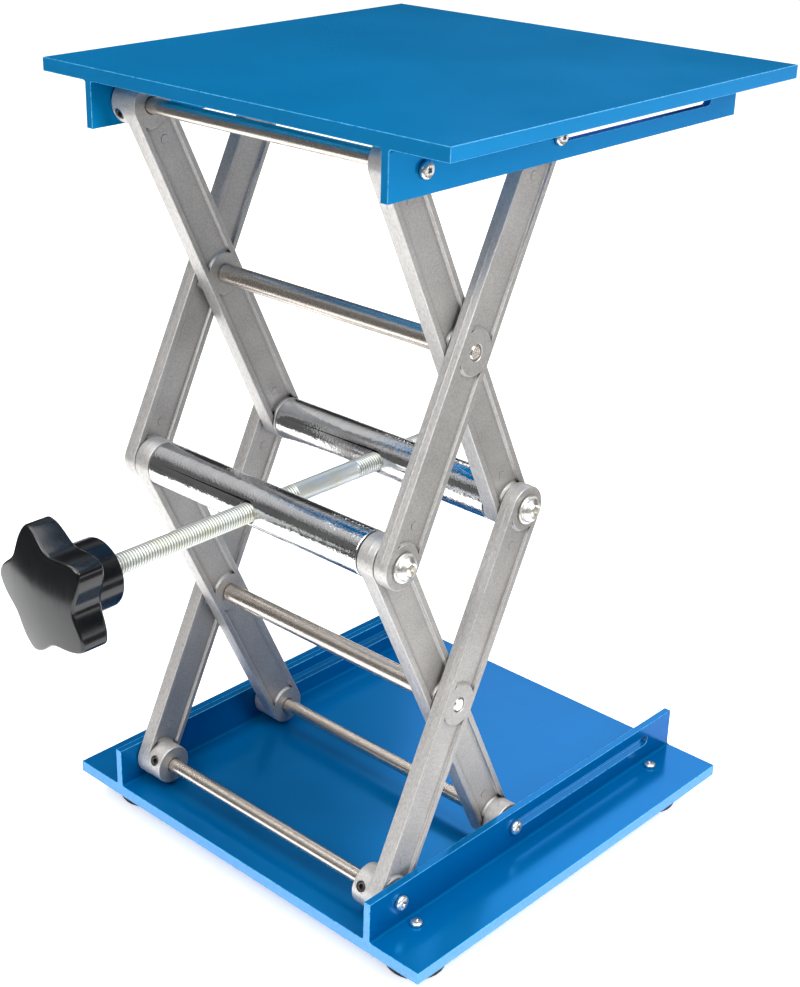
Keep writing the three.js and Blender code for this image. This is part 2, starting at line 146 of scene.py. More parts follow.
def new_piece(name, bm):
    bmesh.ops.recalc_face_normals(bm, faces=bm.faces)
    mesh = bpy.data.meshes.new(name)
    bm.to_mesh(mesh)
    bm.free()
    piece = bpy.data.objects.new(name, mesh)
    bpy.context.scene.collection.objects.link(piece)
    return piece


def lofted(name, rings, looped=False):
    """A closed body through rings of equally many points, capped unless the last meets the first."""
    bm = bmesh.new()
    rows = [[bm.verts.new(point) for point in ring] for ring in rings]
    pairs = list(zip(rows, rows[1:]))
    if looped:
        pairs.append((rows[-1], rows[0]))
    else:
        bm.faces.new(list(reversed(rows[0])))
        bm.faces.new(rows[-1])
    for low, high in pairs:
        for here in range(len(low)):
            after = (here + 1) % len(low)
            bm.faces.new((low[here], low[after], high[after], high[here]))
    return new_piece(name, bm)


def softened(points, reach, steps=4):
    """A line of (a, b) points with each inner corner rounded."""
    line = [points[0]]
    for before, corner, after in zip(points, points[1:], points[2:]):
        here = Vector(corner)
        inward, outward = Vector(before) - here, Vector(after) - here
        cut = min(reach, inward.length / 2.01, outward.length / 2.01)
        start, end = here + inward.normalized() * cut, here + outward.normalized() * cut
        for step in range(steps + 1):
            t = step / steps
            line.append(tuple(start * (1 - t) ** 2 + here * 2 * t * (1 - t) + end * t * t))
    return [*line, points[-1]]


def turned(name, profile, segments=64, looped=False):
    """A body turned about Z from (radius, height) rows, or (radius, height, share by angle) rows."""
    rings = []
    for radius, height, *shape in profile:
        ring = []
        for step in range(segments):
            angle = 2 * math.pi * step / segments
            reach = radius * (shape[0](angle) if shape else 1)
            ring.append((reach * math.cos(angle), reach * math.sin(angle), height))
        rings.append(ring)
    return lofted(name, rings, looped)


def hexagon(angle):
    sixth = math.pi / 3
    return math.cos(sixth / 2) / math.cos(angle % sixth - sixth / 2)


def cross(angle, width=0.26):
    turn = (angle + math.pi / 4) % (math.pi / 2) - math.pi / 4
    return min(1 / math.cos(turn), width / max(abs(math.sin(turn)), 1e-6))


def settled(piece):
    """The piece with its modifiers made into mesh."""
    bpy.context.view_layer.update()
    graph = bpy.context.evaluated_depsgraph_get()
    mesh = bpy.data.meshes.new_from_object(piece.evaluated_get(graph))
    old = piece.data
    piece.modifiers.clear()
    piece.data = mesh
    bpy.data.meshes.remove(old)
    return piece


def combined(piece, tools, operation="DIFFERENCE"):
    for tool in tools:
        modifier = piece.modifiers.new("combine", "BOOLEAN")
        modifier.operation = operation
        modifier.object = tool
        modifier.solver = "EXACT"
    settled(piece)
    for tool in tools:
        bpy.data.objects.remove(tool)
    return piece


def bevelled(piece, width, steps=2, above=math.radians(40)):
    modifier = piece.modifiers.new("bevel", "BEVEL")
    modifier.width = width
    modifier.segments = steps
    modifier.limit_method = "ANGLE"
    modifier.angle_limit = above
    modifier.use_clamp_overlap = False
    # the bevel faces take the second material where there is one; on the plates that paints a pale highlight line
    # along the edges
    modifier.material = 1 if len(piece.data.materials) > 1 else -1
    return settled(piece)


def smoothed(piece, above=math.radians(38)):
    piece.data.shade_smooth()
    piece.data.set_sharp_from_angle(angle=above)
    modifier = piece.modifiers.new("normals", "WEIGHTED_NORMAL")
    modifier.keep_sharp = True
    return settled(piece)


def facing(point, direction):
    """The place of a piece made along Z, standing at a point and looking along a direction."""
    return Matrix.Translation(point) @ Vector(direction).to_track_quat("Z", "Y").to_matrix().to_4x4()


def stand_in(piece, node, slot, *finishes):
    """The piece takes a CAD node's place and body, with the finishes as its materials; the slot is not used."""
    for finish in finishes:
        piece.data.materials.append(finish)
    smoothed(piece)
    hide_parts(node)
    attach(piece, BODY_OF[node])
    return piece


# ---------------------------------------------------------------- material tools


class Finish:
    """A Principled material with short ways to wire its procedural detail."""

    def __init__(self, name, **values):
        self.made = bpy.data.materials.new(name)
        self.made.use_nodes = True
        self.tree = self.made.node_tree
        self.shader = self.tree.nodes["Principled BSDF"]
        for socket, value in values.items():
            self.shader.inputs[socket.replace("_", " ")].default_value = value
        self.place = self.tree.nodes.new("ShaderNodeTexCoord")

    def node(self, kind, inputs=(), **properties):
        node = self.tree.nodes.new(kind)
        for name, value in properties.items():
            setattr(node, name, value)
        for socket, value in dict(inputs).items():
            if isinstance(value, bpy.types.NodeSocket):
                self.tree.links.new(value, node.inputs[socket])
            else:
                node.inputs[socket].default_value = value
        return node

    def noise(self, scale, detail=3, stretch=(1, 1, 1), turn=(0, 0, 0), roughness=0.55):
        """Noise in the piece's own space, with features of about 1/scale metres."""
        inputs = {"Vector": self.place.outputs["Object"], "Scale": stretch, "Rotation": turn}
        mapped = self.node("ShaderNodeMapping", inputs)
        inputs = {"Vector": mapped.outputs[0], "Scale": scale, "Detail": detail, "Roughness": roughness}
        return self.node("ShaderNodeTexNoise", inputs).outputs["Fac"]

    def cells(self, scale):
        inputs = {"Vector": self.place.outputs["Object"], "Scale": scale}
        return self.node("ShaderNodeTexVoronoi", inputs).outputs["Distance"]

    def between(self, source, low, high, start=0.3, end=0.7):
        """The source spread from its usual range onto low to high."""
        inputs = {"Value": source, "From Min": start, "From Max": end, "To Min": low, "To Max": high}
        return self.node("ShaderNodeMapRange", inputs).outputs[0]

    def maths(self, operation, first, second=0.0):
        return self.node("ShaderNodeMath", {0: first, 1: second}, operation=operation).outputs[0]

    def mixed(self, share, first, second):
        node = self.node("ShaderNodeMix", {0: share, 6: first, 7: second}, data_type="RGBA")
        return node.outputs[2]

    def facing_along(self, axis):
        """1 where the piece's own surface faces along an axis, either way."""
        parts = self.node("ShaderNodeSeparateXYZ", {0: self.place.outputs["Normal"]})
        size = self.maths("ABSOLUTE", parts.outputs[axis])
        return self.between(size, 0, 1, 0.8, 0.95)

    def coloured(self, source, first, second):
        """The surface's colour wanders between two as the source does."""
        self.set("Base Color", self.mixed(self.between(source, 0, 1), first, second))

    def painted_corner_shade(self, reach, most):
        """Painted shade: more of it in the corners and hollows that are narrower than the reach."""
        node = self.node("ShaderNodeAmbientOcclusion", {"Distance": reach}, only_local=True, samples=8)
        return self.between(node.outputs["AO"], most, 0, 0.5, 0.93)

    def relief(self, height, depth, strength=1.0):
        """Adds a bump, in metres, under any that is there already."""
        inputs = {"Height": height, "Distance": depth, "Strength": strength}
        links = self.shader.inputs["Normal"].links
        if links:
            inputs["Normal"] = links[0].from_socket
        bump = self.node("ShaderNodeBump", inputs)
        self.tree.links.new(bump.outputs[0], self.shader.inputs["Normal"])

    def set(self, socket, source):
        self.tree.links.new(source, self.shader.inputs[socket])


def plain(red, green, blue):
    """A colour given as display values from 0 to 1, made linear."""
    linear = [v / 12.92 if v <= 0.04045 else ((v + 0.055) / 1.055) ** 2.4 for v in (red, green, blue)]
    return (*linear, 1)


# ---------------------------------------------------------------- finishes


def blue_coating(name, low, high, painted_reflection_share):
    """Satin blue on drawn aluminium: faint lines along the extrusion, and a paler rim on the end and outermost
    side faces, painted as the reflection of the bright floor, with real saw and drawing marks in it.
    """
    finish = Finish(name, Metallic=0.4, Specular_IOR_Level=0.18, Specular_Tint=plain(0.25, 0.65, 1))
    broad = finish.noise(14, 4)
    drawn = finish.noise(260, 1, stretch=(1, 0.03, 1))
    specks = finish.cells(420)
    marks = finish.noise(1200, 4, stretch=(1, 1, 0.4))
    colour = finish.mixed(finish.between(broad, 0, 1), plain(*low), plain(*high))
    colour = finish.mixed(finish.between(specks, 0.4, 0, 0, 0.05), colour, plain(0.4, 0.66, 0.88))
    parts = finish.node("ShaderNodeSeparateXYZ", {0: finish.place.outputs["Object"]})
    edge = CAD_BOX[1].x
    from_middle = finish.maths("ABSOLUTE", parts.outputs["X"])
    outermost = finish.between(from_middle, 0, 1, edge - MM, edge - PLATE_EDGE)
    side = finish.maths("MULTIPLY", finish.facing_along("X"), outermost)
    rim = finish.maths("MAXIMUM", finish.facing_along("Y"), side)
    # painted reflection: the rim faces are mixed toward pale blue to stand in for the bright floor reflected in
    # them; the marks within are real
    pale = finish.mixed(finish.between(marks, 0, 1), plain(0.40, 0.61, 0.81), plain(0.47, 0.67, 0.85))
    finish.set("Base Color", finish.mixed(finish.maths("MULTIPLY", rim, painted_reflection_share), colour, pale))
    finish.set("Roughness", finish.between(broad, 0.15, 0.2))
    finish.relief(drawn, 0.0006 * MM)
    finish.relief(finish.maths("MULTIPLY", marks, rim), 0.01 * MM)
    return finish.made


def blue_edge_highlight():
    """The same coating made pale along the bevelled edges: a painted highlight line, mottled by noise."""
    finish = Finish("blue_edge_highlight", Metallic=0.4)
    highlight_mottle = finish.noise(600, 4)
    finish.coloured(highlight_mottle, plain(0.1, 0.49, 0.74), plain(0.34, 0.7, 0.88))
    finish.set("Roughness", finish.between(highlight_mottle, 0.25, 0.4))
    return finish.made


def cast_metal():
    """Grey die-cast metal: speckled faces, lightly brushed edges, and painted shade in the corners."""
    finish = Finish("cast_metal", Metallic=0.65)
    grain = finish.noise(2300, 3)
    speckle = finish.noise(1100, 5, roughness=0.7)
    cloudy = finish.noise(55, 4)
    brushed = finish.noise(2300, 4, stretch=(1, 0.25, 1), roughness=0.7)
    pits = finish.cells(700)
    colour = finish.mixed(finish.between(cloudy, 0, 1), plain(0.57, 0.56, 0.55), plain(0.66, 0.65, 0.64))
    colour = finish.mixed(finish.between(grain, 0.55, 0), colour, plain(0.42, 0.41, 0.40))
    colour = finish.mixed(finish.between(speckle, 0, 0.35), colour, plain(0.80, 0.79, 0.78))
    edge_face = finish.maths("SUBTRACT", 1.0, finish.facing_along("X"))
    lines = finish.maths("MULTIPLY", finish.between(brushed, 0.85, 0.15), edge_face)
    colour = finish.mixed(lines, colour, plain(0.86, 0.85, 0.84))
    colour = finish.mixed(finish.between(pits, 0.45, 0, 0, 0.1), colour, plain(0.25, 0.24, 0.23))
    # painted shade: the colour goes near black in the pocket corners and other hollows, where shadow falls
    finish.set("Base Color", finish.mixed(finish.painted_corner_shade(2 * MM, 1.0), colour, plain(0.10, 0.095, 0.09)))
    finish.set("Roughness", finish.between(grain, 0.36, 0.52))
    finish.relief(grain, 0.07 * MM, 0.8)
    finish.relief(speckle, 0.09 * MM, 0.6)
    return finish.made


def drawn_steel():
    """Bright drawn rod: warm, with fine specks and lines along its length."""
    finish = Finish("drawn_steel", Metallic=0.95)
    lines = finish.noise(1400, 3, stretch=(1, 1, 0.02))
    specks = finish.noise(1700, 5, roughness=0.75)
    finish.coloured(specks, plain(0.72, 0.66, 0.60), plain(0.97, 0.95, 0.92))
    finish.set("Roughness", finish.between(lines, 0.2, 0.26))
    finish.relief(specks, 0.1 * MM, 0.6)
    finish.relief(lines, 0.02 * MM, 0.4)
    return finish.made


def chrome():
    """Mirror plating over a bar that is pitted in patches."""
    finish = Finish("chrome", Metallic=1.0)
    ripple = finish.maths("ADD", finish.noise(1500, 2, roughness=0.7), finish.cells(1000))
    clouds = finish.noise(60, 3)
    finish.coloured(clouds, plain(0.86, 0.86, 0.87), plain(0.95, 0.95, 0.95))
    finish.set("Roughness", finish.between(clouds, 0.03, 0.09))
    finish.relief(finish.maths("MULTIPLY", ripple, finish.between(clouds, 0.25, 1)), 0.085 * MM, 0.8)
    return finish.made


def zinc():
    """Zinc plating: bright crests, a greyer cast down in the thread, and yellowish patches."""
    finish = Finish("zinc", Metallic=0.7)
    patches = finish.noise(90, 4)
    grain = finish.noise(2200, 3)
    parts = finish.node("ShaderNodeSeparateXYZ", {0: finish.place.outputs["Object"]})
    squares = [finish.maths("MULTIPLY", parts.outputs[axis], parts.outputs[axis]) for axis in ("X", "Y")]
    from_axis = finish.maths("SQRT", finish.maths("ADD", *squares))
    root = LEAD_SCREW_RADIUS - THREAD_DEPTH
    depth = finish.between(from_axis, 1, 0, root + 0.1 * MM, root + 0.45 * MM)
    yellowed = finish.between(patches, 0, 1, 0.5, 0.75)
    colour = finish.mixed(yellowed, plain(0.86, 0.87, 0.86), plain(0.85, 0.84, 0.75))
    colour = finish.mixed(finish.between(grain, 0.3, 0), colour, plain(0.70, 0.71, 0.70))
    cast = finish.maths("MULTIPLY", depth, 0.85)
    finish.set("Base Color", finish.mixed(cast, colour, plain(0.44, 0.46, 0.42)))
    finish.set("Roughness", finish.between(grain, 0.35, 0.5))
    finish.relief(grain, 0.02 * MM, 0.5)
    return finish.made


def polished():
    """Nickel-plated screw heads with fine handling marks."""
    finish = Finish("polished", Metallic=1.0)
    marks = finish.noise(1600, 4)
    finish.coloured(marks, plain(0.84, 0.83, 0.81), plain(0.95, 0.94, 0.92))
    finish.set("Roughness", finish.between(marks, 0.3, 0.42))
    finish.relief(marks, 0.03 * MM, 0.5)
    return finish.made


def dark_steel():
    finish = Finish("dark_steel", Metallic=1.0)
    marks = finish.noise(1800, 4)
    finish.coloured(marks, plain(0.24, 0.23, 0.23), plain(0.42, 0.41, 0.40))
    finish.set("Roughness", finish.between(marks, 0.3, 0.5))
    finish.relief(marks, 0.03 * MM, 0.5)
    return finish.made


def knob_plastic():
    """Glossy black moulding with a faint orange-peel skin and hairline scuffs."""
    finish = Finish("knob_plastic")
    skin = finish.noise(160, 2)
    scuffs = finish.noise(900, 4, stretch=(1, 0.06, 1), turn=(0, 0, 0.5))
    finish.coloured(skin, plain(0.03, 0.035, 0.045), plain(0.06, 0.065, 0.075))
    finish.set("Roughness", finish.between(scuffs, 0.12, 0.2))
    finish.relief(skin, 0.02 * MM, 0.5)
    return finish.made


def brass():
    finish = Finish("brass", Metallic=1.0)
    tarnish = finish.noise(400, 4)
    finish.coloured(tarnish, plain(0.62, 0.50, 0.28), plain(0.80, 0.68, 0.42))
    finish.set("Roughness", finish.between(tarnish, 0.22, 0.4))
    finish.relief(tarnish, 0.02 * MM, 0.5)
    return finish.made


def black_rubber():
    """Matt moulded rubber with dust in its grain."""
    finish = Finish("black_rubber")
    grain = finish.noise(1500, 4)
    dust = finish.noise(90, 4)
    finish.coloured(dust, plain(0.07, 0.07, 0.08), plain(0.13, 0.13, 0.14))
    finish.set("Roughness", finish.between(grain, 0.6, 0.8))
    finish.relief(grain, 0.05 * MM, 0.6)
    return finish.made


# the last number is the share of painted floor reflection on the plate's end and outer side faces
BASE_BLUE = blue_coating("base_blue", (0, 0.365, 0.595), (0, 0.395, 0.63), 0.75)
TOP_BLUE = blue_coating("top_blue", (0, 0.43, 0.64), (0, 0.455, 0.675), 0.04)
BLUE_EDGE_HIGHLIGHT = blue_edge_highlight()
CAST = cast_metal()
STEEL, CHROME, ZINC, POLISHED, DARK = drawn_steel(), chrome(), zinc(), polished(), dark_steel()
PLASTIC, BRASS, RUBBER = knob_plastic(), brass(), black_rubber()

# ---------------------------------------------------------------- plates


def plate_section(half_width, rib_top):
    """A plate's outline in (x, z): the flat below and two ribs with rounded roots."""
    rib_outer = RIB_INNER + RIB_THICKNESS
    flat = PLATE_THICKNESS
    right = [(half_width, flat), (rib_outer, flat), (rib_outer, rib_top)]
    right += [(RIB_INNER, rib_top), (RIB_INNER, flat)]
    left = [(-x, z) for x, z in reversed(right)]
    line = [(0, flat), *left, (-half_width, 0), (half_width, 0), *right, (0, flat)]
    section = []
    for before, corner, after in zip(line, line[1:], line[2:]):
        is_root = corner[1] == flat and abs(corner[0]) < half_width
        rounded = softened([before, corner, after], RIB_ROOT, 5)[1:-1] if is_root else [corner]
        section.extend(rounded)
    return section


def slot_cutter(height, start, end, radius):
    """A long hole through both ribs, along Y."""
    ring = []
    for centre, first in ((end, -90), (start, 90)):
        for step in range(17):
            angle = math.radians(first + 180 * step / 16)
            ring.append((centre + radius * math.cos(angle), height + radius * math.sin(angle)))
    reach = CAD_BOX[1].x
    return lofted("cutter", [[(side * reach, y, z) for y, z in ring] for side in (-1, 1)])


def ribbed_plate(name, node, finish, pivot_height, screw_holes=()):
    """A plate lying on its flat face with the ribs up, and its pivots at a height above that face."""
    low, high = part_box(node)
    section = plate_section(high.x, high.z - low.z)
    plate = lofted(name, [[(x, y, z) for x, z in section] for y in (low.y, high.y)])
    hole = PIN_RADIUS + GAP
    tools = [
        slot_cutter(pivot_height, REAR_MID.y, SLOT_END, hole),
        slot_cutter(pivot_height, BASE_FRONT.y, BASE_FRONT.y + 0.01 * MM, hole),
    ]
    for x, y in screw_holes:
        tool = turned("cutter", [(PLATE_HOLE_RADIUS, -MM), (PLATE_HOLE_RADIUS, PLATE_THICKNESS + MM)], 32)
        tool.matrix_world = Matrix.Translation((x, y, 0))
        tools.append(tool)
    combined(plate, tools)
    plate.data.materials.append(finish)
    # the second material paints a pale highlight line on the bevelled edges
    plate.data.materials.append(BLUE_EDGE_HIGHLIGHT)
    return bevelled(plate, PLATE_EDGE)


def plates():
    foot_screws = [middle(node) for node in frame["nodes"] if node.startswith("foot_screw")]
    holes = [(at.x, at.y) for at in foot_screws]
    base = ribbed_plate("look_base_plate", "base_plate", BASE_BLUE, BASE_FRONT.z, holes)
    stand_in(base, "base_plate", "blue_plate")
    top_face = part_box("top_plate")[1].z
    top = ribbed_plate("look_top_plate", "top_plate", TOP_BLUE, top_face - TOP_FRONT.z)
    top.matrix_world = Matrix.Translation((0, 0, top_face)) @ Matrix.Rotation(math.pi, 4, "Y")
    stand_in(top, "top_plate", "blue_plate")


# ---------------------------------------------------------------- arms


def arm_ring(x, grow=0.0):
    """An arm's outline along +Y from its plate-end pivot, at one x, grown by an amount."""
    end, mid = ARM_END_RADIUS + grow, ARM_MID_RADIUS + grow
    lean = math.degrees(math.asin((mid - end) / ARM_SPAN))
    ring = []
    plate_end = (0, end, 90 + lean, 270 - lean)
    mid_end = (ARM_SPAN, mid, -90 - lean, 90 + lean)
    for centre, radius, first, last in (plate_end, mid_end):
        for step in range(33):
            angle = math.radians(first + (last - first) * step / 32)
            ring.append((x, centre + radius * math.cos(angle), radius * math.sin(angle)))
    return ring


def pocket_ring(x, start, end, inset):
    """The sunken web's outline between two round pads, at one x, drawn in by an amount."""
    half = ARM_END_RADIUS - ARM_RIM - inset
    pad = ARM_END_RADIUS + inset
    swing = math.asin(half / pad)
    ring = []
    for centre, turn in ((start, 0), (end, math.pi)):
        for step in range(25):
            angle = turn - swing + 2 * swing * step / 24
            ring.append((x, centre + pad * math.cos(angle), pad * math.sin(angle)))
    return ring


def pocket_cutter(face, outward, start, end):
    """A pocket with a rounded rim, drafted walls and a rounded floor edge, in a face looking outward."""
    rim = [(-0.4, -0.6), (0, -0.32), (0.12, -0.14), (0.35, -0.02)]
    wall_and_floor = [(0.72, 0.08), (0.97, 0.26), (1.13, 0.55), (1.2, 1)]
    rings = []
    for depth, inset in rim + wall_and_floor:
        x = face - outward * depth / 1.2 * POCKET_DEPTH
        rings.append(pocket_ring(x, start, end, inset * MM))
    return lofted("cutter", rings)


def along_x(radius, start, end, y=0.0, edge=0.0, segments=64):
    """A round tool along X. A positive edge rounds its far end, a negative one flares both ends."""
    length = abs(end - start)
    if edge < 0:
        rows = [(radius - edge, 0), (radius - edge, -edge), (radius, -2 * edge)]
        rows += [(radius, length + 2 * edge), (radius - edge, length + edge), (radius - edge, length)]
    else:
        rows = [(radius, 0), (radius, length), (0.1 * radius, length)]
        rows = softened(rows, edge) if edge else rows[:-1]
    tool = turned("tool", rows, segments)
    tool.matrix_world = facing((start, y, 0), X if end > start else -X)
    return tool


def arm_blank(name, near, far):
    """The arm's bar between two x planes: rounded edges, and the mould's parting line round it."""
    step = 1 if far > near else -1
    centre = (near + far) / 2
    edge = [(0, -0.5), (0.06, -0.28), (0.2, -0.08), (0.45, 0)]
    flash = [(-0.35, 0), (-0.1, 1), (0.1, 1), (0.35, 0)]
    rows = [(near + step * x * MM, grow * MM) for x, grow in edge]
    rows += [(centre + step * x * MM, share * FLASH) for x, share in flash]
    rows += [(far - step * x * MM, grow * MM) for x, grow in reversed(edge)]
    return lofted(name, [arm_ring(x, grow) for x, grow in rows])


def arm(name, side, is_outer, set_screw_x, set_screw_angle):
    """A cast arm along +Y from its plate-end pivot, with its boss, pad, pockets and bores."""
    boss_inner, outer_face = (corner.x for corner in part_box("lower_outer_arm_right"))
    pad_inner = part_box("lower_inner_arm_right")[0].x
    near, far = (outer_face - OUTER_ARM_THICKNESS, outer_face) if is_outer else INNER_ARM_FACES
    centre = side * (near + far) / 2
    body = arm_blank(name, side * near, side * far)
    if is_outer:
        extras = [along_x(BOSS_RADIUS, centre, side * boss_inner, edge=0.6 * MM)]
    else:
        extras = [
            along_x(BOSS_RADIUS, centre, side * outer_face, edge=0.6 * MM),
            along_x(PAD_RADIUS, centre, side * pad_inner, ARM_SPAN, edge=0.5 * MM),
        ]
    half = ARM_SPAN / 2
    pockets, marks = [], []
    for face, outward in ((side * near, -side), (side * far, side)):
        for reach in ((0, half), (half, ARM_SPAN)):
            pockets.append(pocket_cutter(face, outward, *reach))
        floor_x = face - outward * POCKET_DEPTH
        for y in (EJECTOR_FROM_PIVOT, ARM_SPAN - EJECTOR_FROM_PIVOT):
            start, end = floor_x - outward * MM, floor_x + outward * EJECTOR_HEIGHT
            marks.append(along_x(EJECTOR_RADIUS, start, end, y, edge=0.12 * MM, segments=32))
    combined(body, pockets)
    combined(body, extras + marks, "UNION")
    inner, outer = (near, outer_face) if is_outer else (pad_inner, far)
    hole_radius = SET_SCREW_RADIUS + GAP
    hole_rows = [(hole_radius, 0), (hole_radius, ARM_END_RADIUS - 0.3 * MM)]
    hole_rows += [(hole_radius + 0.6 * MM, ARM_END_RADIUS + 0.3 * MM)]
    hole = turned("tool", hole_rows, 32)
    hole.matrix_world = Matrix.Rotation(set_screw_angle, 4, "X") @ facing((side * set_screw_x, 0, 0), Y)
    flare = 0.25 * MM
    bores = [
        (ROD_RADIUS, boss_inner if is_outer else near, outer_face, 0),
        (CENTRE_JOURNAL_RADIUS, near, far, half),
        (MID_SCREW_RADIUS, inner, outer, ARM_SPAN),
    ]
    tools = []
    for radius, start, end, y in bores:
        tools.append(along_x(radius + GAP, side * (start - flare), side * (end + flare), y, edge=-flare))
    return combined(body, [*tools, hole])


def set_screw():
    """A headless screw seen from its socket end, from the rod out to the boss's face."""
    radius, start, end = SET_SCREW_RADIUS, ROD_RADIUS + GAP, ARM_END_RADIUS - GAP
    rows = [(radius - 0.4 * MM, start), (radius, start + 0.5 * MM), (radius, end - 0.35 * MM)]
    rows += [(radius - 0.35 * MM, end), (1.3 * MM, end), (1.15 * MM, end - 0.2 * MM, hexagon)]
    rows += [(1.15 * MM, end - 2 * MM, hexagon)]
    return turned("set_screw", rows, 48)


def pan_head(radius, height, seat, shank, tip):
    """A low round head with a cross recess, on a plain shank that starts at its tip."""
    outline = [(shank, tip), (shank, seat), (radius, seat), (radius, seat + height * 0.45)]
    rows = [(shank - 0.3 * MM, tip), (shank, tip + 0.3 * MM), *softened(outline, 0.15 * MM, 2)[1:]]
    for step in range(1, 7):
        angle = math.radians(15 * step - 5)
        rows.append((radius * (0.3 + 0.7 * math.cos(angle)), seat + height * (0.45 + 0.55 * math.sin(angle))))
    recess = ((0.62, 0.985), (0.5, 0.7), (0.3, 0.25))
    return rows + [(radius * reach, seat + height * depth, cross) for reach, depth in recess]


def arm_pairs():
    """The eight arms, each pair with its set screws and the pins at its plate."""
    pin_low, pin_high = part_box("base_pivot_pin_right")
    head_radius, head_height = PIN_HEAD
    pin_rows = pan_head(head_radius, head_height, pin_high.x - head_height, PIN_RADIUS, pin_low.x)
    rows = [
        ("lower_outer", "base_front", "base_pivot_pin", BASE_FRONT, REAR_MID),
        ("lower_inner", "base_rear", "base_slide_pin", BASE_REAR, FRONT_MID),
        ("upper_inner", "top_front", "top_pivot_pin", TOP_FRONT, REAR_MID),
        ("upper_outer", "top_rear", "top_slide_pin", TOP_REAR, FRONT_MID),
    ]
    for kind, end, pin, pivot, target in rows:
        line = target - pivot
        angle = math.atan2(line.z, line.y)
        is_outer = kind.endswith("outer")
        screw_angle = math.copysign(math.pi / 2, math.sin(2 * angle))  # square to the arm, outwards
        outwards = Matrix.Rotation(angle + screw_angle, 3, "X") @ Y
        for label, side in SIDES.items():
            screw_at = middle(f"{end}_set_screw_{label}")
            node = f"{kind}_arm_{label}"
            piece = arm(f"look_{node}", side, is_outer, abs(screw_at.x), screw_angle)
            piece.matrix_world = Matrix.Translation(pivot) @ Matrix.Rotation(angle, 4, "X")
            stand_in(piece, node, "cast_arm", CAST)
            screw = set_screw()
            screw.name = f"look_{end}_set_screw_{label}"
            screw.matrix_world = facing((screw_at.x, pivot.y, pivot.z), outwards)
            stand_in(screw, f"{end}_set_screw_{label}", "set_screw", DARK)
            head = turned(f"look_{pin}_{label}", pin_rows, 64)
            turn = Matrix.Rotation(0.5 + 1.3 * side + pivot.z * 7, 4, "Z")
            head.matrix_world = facing((0, pivot.y, pivot.z), X * side) @ turn
            stand_in(head, f"{pin}_{label}", "polished_screw", POLISHED)


# ---------------------------------------------------------------- rods and crossbars


def rod(node, radius, journal=None):
    """A drawn rod along X, chamfered, with thinner journals beyond its shoulders where it has them."""
    low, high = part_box(node)
    end, tip = high.x, radius if journal is None else journal
    rows = [(tip - 0.5 * MM, 0), (tip, 0.5 * MM)]
    if journal is not None:
        shoulder = end - (INNER_ARM_FACES[0] - GAP)
        rows += [(tip, shoulder), (radius - 0.3 * MM, shoulder), (radius, shoulder + 0.3 * MM)]
    rows += [(r, 2 * end - height) for r, height in reversed(rows)]
    piece = turned(f"look_{node}", rows, 64)
    piece.matrix_world = facing((-end, (low.y + high.y) / 2, (low.z + high.z) / 2), X)
    stand_in(piece, node, "bright_rod", STEEL)


def rods():
    for node in ("base_front_rod", "base_rear_rod", "top_front_rod", "top_rear_rod"):
        rod(node, ROD_RADIUS)
    for node in ("lower_centre_rod", "upper_centre_rod"):
        rod(node, CENTRE_ROD_RADIUS, CENTRE_JOURNAL_RADIUS)


def crossbar(node):
    """A plated bar, tapped at both ends and bored across for the lead screw."""
    low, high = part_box(node)
    radius, length, tap = (high.z - low.z) / 2, high.x - low.x, MID_SCREW_RADIUS + GAP
    half = [(tap, CROSSBAR_TAP_DEPTH), (tap, 0), (radius, 0), (radius, length / 2)]
    rows = half[:-1] + [(r, length - height) for r, height in reversed(half[:-1])]
    bar = turned(f"look_{node}", rows, 96)
    bore_radius = LEAD_SCREW_RADIUS + GAP
    bore = turned("cutter", [(bore_radius, -2 * radius), (bore_radius, 2 * radius)], 64)
    at = middle(node)
    bar.matrix_world = facing((low.x, at.y, at.z), X)
    bore.matrix_world = facing(at, Y)
    combined(bar, [bore])
    bevelled(bar, 0.5 * MM, 3)
    stand_in(bar, node, "chrome_bar", CHROME)


def mid_screw(node, side):
    """A flanged button screw with a hexagon socket."""
    low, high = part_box(node)
    tip, top = min(abs(low.x), abs(high.x)), max(abs(low.x), abs(high.x))
    seat = top - MID_SCREW_HEAD_HEIGHT
    shank, flange = MID_SCREW_RADIUS, MID_SCREW_FLANGE_RADIUS
    outline = [(shank, tip), (shank, seat), (flange, seat), (flange, seat + 0.9 * MM)]
    rows = softened([*outline, (4.7 * MM, seat + 1.1 * MM)], 0.3 * MM)
    for step in range(9):
        angle = math.radians(8 + 72 * step / 8)
        rows.append((4.75 * MM * math.cos(angle) ** 0.75, seat + 1.2 * MM + 2.4 * MM * math.sin(angle)))
    mouth = 2.75 * MM
    rows = [row for row in rows if row[0] > mouth]
    rows += [(mouth, top), (2.4 * MM, top - 0.25 * MM, hexagon), (2.3 * MM, top - 2.2 * MM, hexagon)]
    screw = turned(f"look_{node}", rows, 72)
    at = middle(node)
    screw.matrix_world = facing((0, at.y, at.z), X * side) @ Matrix.Rotation(0.35 * side, 4, "Z")
    stand_in(screw, node, "polished_screw", POLISHED)


def crossbars():
    for end in ("front", "rear"):
        crossbar(f"{end}_crossbar")
        for label, side in SIDES.items():
            mid_screw(f"{end}_mid_screw_{label}", side)


# ---------------------------------------------------------------- lead screw and knob


def thread_rows(start, end, hand, radius):
    """Rows of a thread along Z that fades out at both ends."""
    per_turn = 8
    count = round((end - start) / THREAD_PITCH * per_turn)
    rows = []
    for row in range(count + 1):
        height = start + (end - start) * row / count
        fade = min(1, (height - start) / THREAD_PITCH, (end - height) / THREAD_PITCH)

        def share(angle, height=height, fade=fade):
            phase = (height / THREAD_PITCH - hand * angle / (2 * math.pi)) % 1
            crest = max(0, min(1, (0.4 - abs(phase - 0.5)) / 0.3))
            return 1 - THREAD_DEPTH / radius * (1 - crest) * max(fade, 0)

        rows.append((radius, height, share))
    return rows


